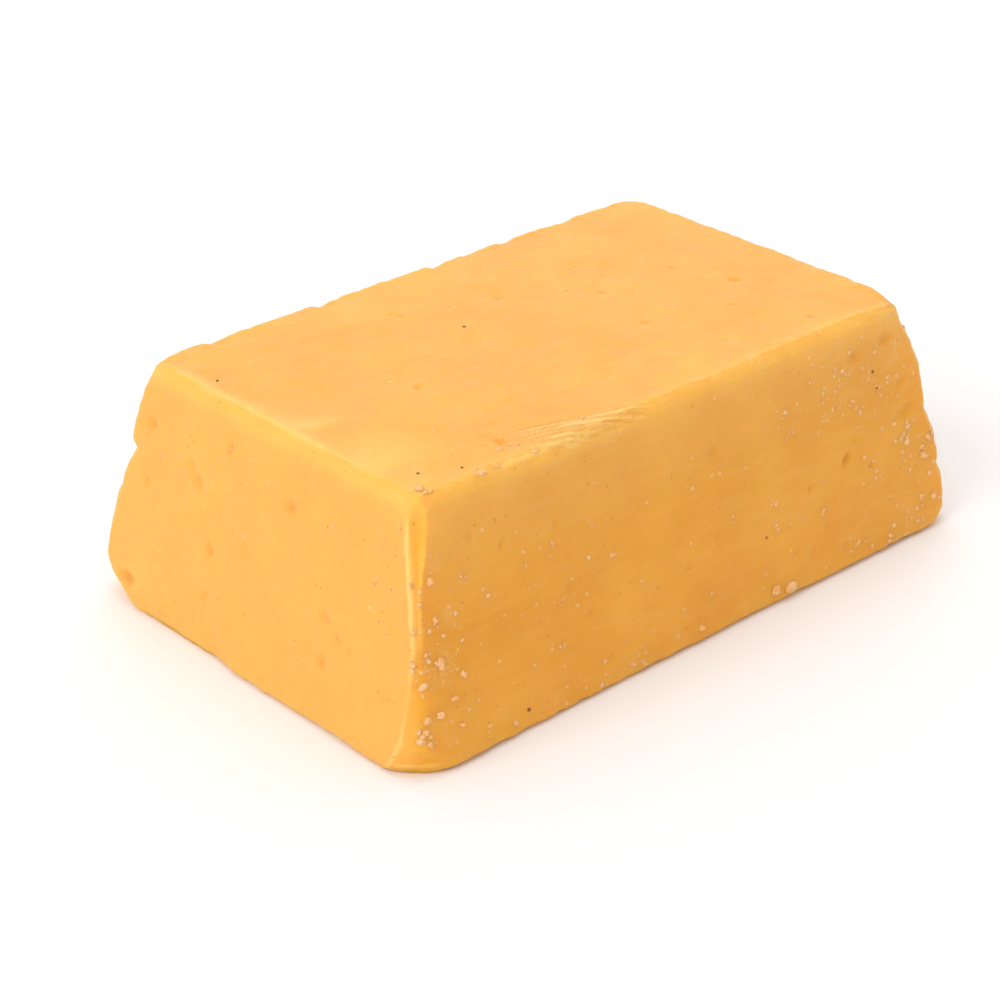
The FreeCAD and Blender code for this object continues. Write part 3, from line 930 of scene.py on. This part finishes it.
# %% The clay: colour
colour = lay_colours(
    tree,
    to_linear("#f1aa36"),
    (
        (noises["mottle"], 0.3, 0.7, 1.0, "#ea9f2c"),
        (noises["streak"], 0.5, 0.72, 0.18, "#f2bb62"),
        (noises["streak"], 0.5, 0.3, 0.14, "#dd952c"),
        # painted light: the end face and the upper long face made paler, as the lamps light them
        (notes["painted_lit_faces"], 0, 1, 0.42, "#f4bc6a"),
        # painted glow along the top edges and the front top corner
        (notes["painted_edge_glow"], 0.1, 1, 0.65, "#fdcd62"),
        (notes["channel"], 0, 1, 0.75, "#f6b62c"),
        # painted glow where clay is thin or proud
        (notes["painted_thin_glow"], 0.1, 0.9, 0.8, "#fad584"),
        # painted shade in pits and drag grooves
        (notes["painted_hollow_shade"], 0.05, 0.8, 0.6, "#e09628"),
        # painted highlight on the drag ridges, and painted shade in the drag grooves
        (drag_ridge_and_highlight, 0, 1, 0.6, "#fdd477"),
        (drag_groove_and_shade, 0, 1, 0.4, "#e59d30"),
        (frost, 0.1, 0.8, 0.4, "#f8c284"),
        (pale, 0, 1, 0.6, "#fccf96"),
        (faint, 0, 1, 0.3, "#f5cc8e"),
        (dark, 0, 1, 0.6, "#8a5a1c"),
        # painted shade in the pores
        (pore_and_painted_shade, 0, 1, 0.5, "#d98a24"),
    ),
)

# %% The clay: roughness, fine relief, and light inside it
rough = add(tree, "MapRange", {0: noises["wax"], 1: 0.3, 2: 0.7, 3: 0.40, 4: 0.54})
powder = add(tree, "Math", {0: pale, 1: frost}, operation="MAXIMUM")
rough = add(tree, "Math", {0: powder, 1: 0.3, 2: rough}, operation="MULTIPLY_ADD")
# crumbling relief along the same edges where the glow is painted
crumble = add(tree, "Math", {0: noises["lumps"], 1: notes["painted_edge_glow"]}, operation="MULTIPLY")

relief = noises["grain"]
RELIEF_PARTS = (
    (noises["streak"], 0.4),
    (pore_and_painted_shade, -1.6),
    (pale, 1.4),
    (drag_ridge_and_highlight, 2),
    (drag_groove_and_shade, -2),
    (crumble, 9),
)
for pattern, height_share in RELIEF_PARTS:
    relief = add(tree, "Math", {0: pattern, 1: height_share, 2: relief}, operation="MULTIPLY_ADD")
RELIEF_STEP = 0.045  # mm of height for one unit of relief
bump = add(tree, "Bump", {"Height": relief, "Distance": RELIEF_STEP * MM, "Strength": 0.9})


def finish_material(tree, shader, colour, rough, bump, ior):
    """Link a material's colour, roughness and relief to its shader."""
    tree.links.new(colour, shader.inputs["Base Color"])
    tree.links.new(rough, shader.inputs["Roughness"])
    tree.links.new(bump, shader.inputs["Normal"])
    shader.inputs["IOR"].default_value = ior


finish_material(tree, shader, colour, rough, bump, 1.45)
shader.inputs["Specular IOR Level"].default_value = 0.4
shader.inputs["Subsurface Weight"].default_value = 0.7
shader.inputs["Subsurface Radius"].default_value = (1.0, 0.42, 0.10)
shader.inputs["Subsurface Scale"].default_value = 2.6 * MM
print("clay material:", len(tree.nodes), "nodes")

# %% [markdown]
# ## Dried clay
# A crumb that dried is the same clay without its oil: chalky, paler, a little pink, and rough all over. It
# has no light inside it, because a fleck half sunk in the block would lose that light into the dark below.

# %% The dried clay
dried, tree, shader, mm = start_material("dried_crumbled_clay")
shade = add(tree, "TexNoise", {"Vector": mm, "Scale": 1 / 1.4, "Detail": 2})
chalk_grain_and_painted_light = add(tree, "TexNoise", {"Vector": mm, "Scale": 1 / 0.18, "Detail": 3, "Roughness": 0.65})
colour = lay_colours(
    tree,
    to_linear("#f4b26a"),
    (
        (shade, 0.35, 0.65, 1.0, "#fbcb94"),
        # painted highlight on the raised chalk grain, and painted shade in its low spots
        (chalk_grain_and_painted_light, 0.5, 0.7, 0.5, "#ffdcae"),
        (chalk_grain_and_painted_light, 0.48, 0.32, 0.6, "#eda552"),
    ),
)
bump = add(tree, "Bump", {"Height": chalk_grain_and_painted_light, "Distance": 0.08 * MM, "Strength": 0.9})
rough = add(tree, "MapRange", {0: chalk_grain_and_painted_light, 1: 0.3, 2: 0.7, 3: 0.65, 4: 0.9})
finish_material(tree, shader, colour, rough, bump, 1.45)
print("dried clay material:", len(tree.nodes), "nodes")

# %% [markdown]
# ## Road grit
# The dark grains are brake dust and road sand: broken mineral with flat faces, brown, and partly sunk in
# the clay.

# %% The grit
mineral, tree, shader, mm = start_material("broken_road_grit")
blotch = add(tree, "TexNoise", {"Vector": mm, "Scale": 1 / 0.15, "Detail": 2})
facets = add(tree, "TexNoise", {"Vector": mm, "Scale": 1 / 0.08, "Detail": 2})
colour = lay_colours(tree, to_linear("#6b4a22"), ((blotch, 0.4, 0.6, 1.0, "#9a7036"),))
bump = add(tree, "Bump", {"Height": facets, "Distance": 0.03 * MM, "Strength": 0.8})
rough = add(tree, "MapRange", {0: blotch, 1: 0.4, 2: 0.6, 3: 0.45, 4: 0.7})
finish_material(tree, shader, colour, rough, bump, 1.5)
shader.inputs["Specular IOR Level"].default_value = 0.3
print("grit material:", len(tree.nodes), "nodes")

# %% Give each piece its material, its slot and its body
dressed = [(block, "clay_block", clay), (grit, "grit_grains", mineral)]
dressed += [(piece, group, dried) for group, piece in crumb_pieces.items()]
for piece, node, material in dressed:
    piece.data.materials.clear()
    piece.data.materials.append(material)
    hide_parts(node)
    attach(piece, "root")
print("pieces:", [piece.name for piece, _, _ in dressed])

# %% [markdown]
# ## Floor, light and camera
# The bar rests on pale paper. A large soft light from the left makes the end face and the top bright and
# leaves the long face a shade darker. A weaker one stands overhead, and a third stands behind, where the
# top mirrors it toward the camera as a sheen. An even white surround keeps the shadows open. The camera
# looks down at the bar from beyond its front corner.

# %% Floor and lights
bpy.ops.mesh.primitive_plane_add(size=3)
floor = bpy.context.object
floor.name = "floor"
paper = bpy.data.materials.new("white_paper")
paper.use_nodes = True
paper.node_tree.nodes["Principled BSDF"].inputs["Base Color"].default_value = to_linear("#f4f4f4")
paper.node_tree.nodes["Principled BSDF"].inputs["Roughness"].default_value = 0.9
floor.data.materials.append(paper)

world = bpy.data.worlds.new("studio")
bpy.context.scene.world = world
world.use_nodes = True
world.node_tree.nodes["Background"].inputs["Color"].default_value = (1, 1, 1, 1)
world.node_tree.nodes["Background"].inputs["Strength"].default_value = 0.72


def softbox(name, place, size, power):
    """An area light at a place in metres that faces the bar."""
    light = bpy.data.lights.new(name, "AREA")
    light.size = size
    light.energy = power
    lamp = bpy.data.objects.new(name, light)
    bpy.context.scene.collection.objects.link(lamp)
    lamp.location = place
    lamp.rotation_euler = (Vector((0, 0, 0.01)) - Vector(place)).to_track_quat("-Z", "Y").to_euler()


softbox("key_from_left", (-0.9, 0.0, 0.7), 0.7, 5.35)
softbox("overhead", (0.1, 0.1, 1.1), 0.9, 2.7)
softbox("sheen_from_behind", (0.67, 0.71, 0.51), 0.9, 2.8)

# %% Camera
AZIMUTH, ELEVATION, ROLL = (math.radians(angle) for angle in (-43.25, 27.71, 0.51))
LENS = 90.9  # mm
AIM = Vector((-5.04, 0.54, 8.17)) * MM
DISTANCE = 282.9 * MM
toward_camera = Vector(
    (
        math.sin(AZIMUTH) * math.cos(ELEVATION),
        -math.cos(AZIMUTH) * math.cos(ELEVATION),
        math.sin(ELEVATION),
    )
)
camera = bpy.data.objects.new("camera", bpy.data.cameras.new("camera"))
bpy.context.scene.collection.objects.link(camera)
camera.data.lens = LENS
turn = toward_camera.to_track_quat("Z", "Y").to_matrix().to_4x4() @ Matrix.Rotation(ROLL, 4, "Z")
camera.matrix_world = Matrix.Translation(AIM + toward_camera * DISTANCE) @ turn
bpy.context.scene.camera = camera
bpy.context.scene.view_settings.view_transform = "Standard"
print(f"camera {DISTANCE / MM:.0f} mm from the point it aims at")
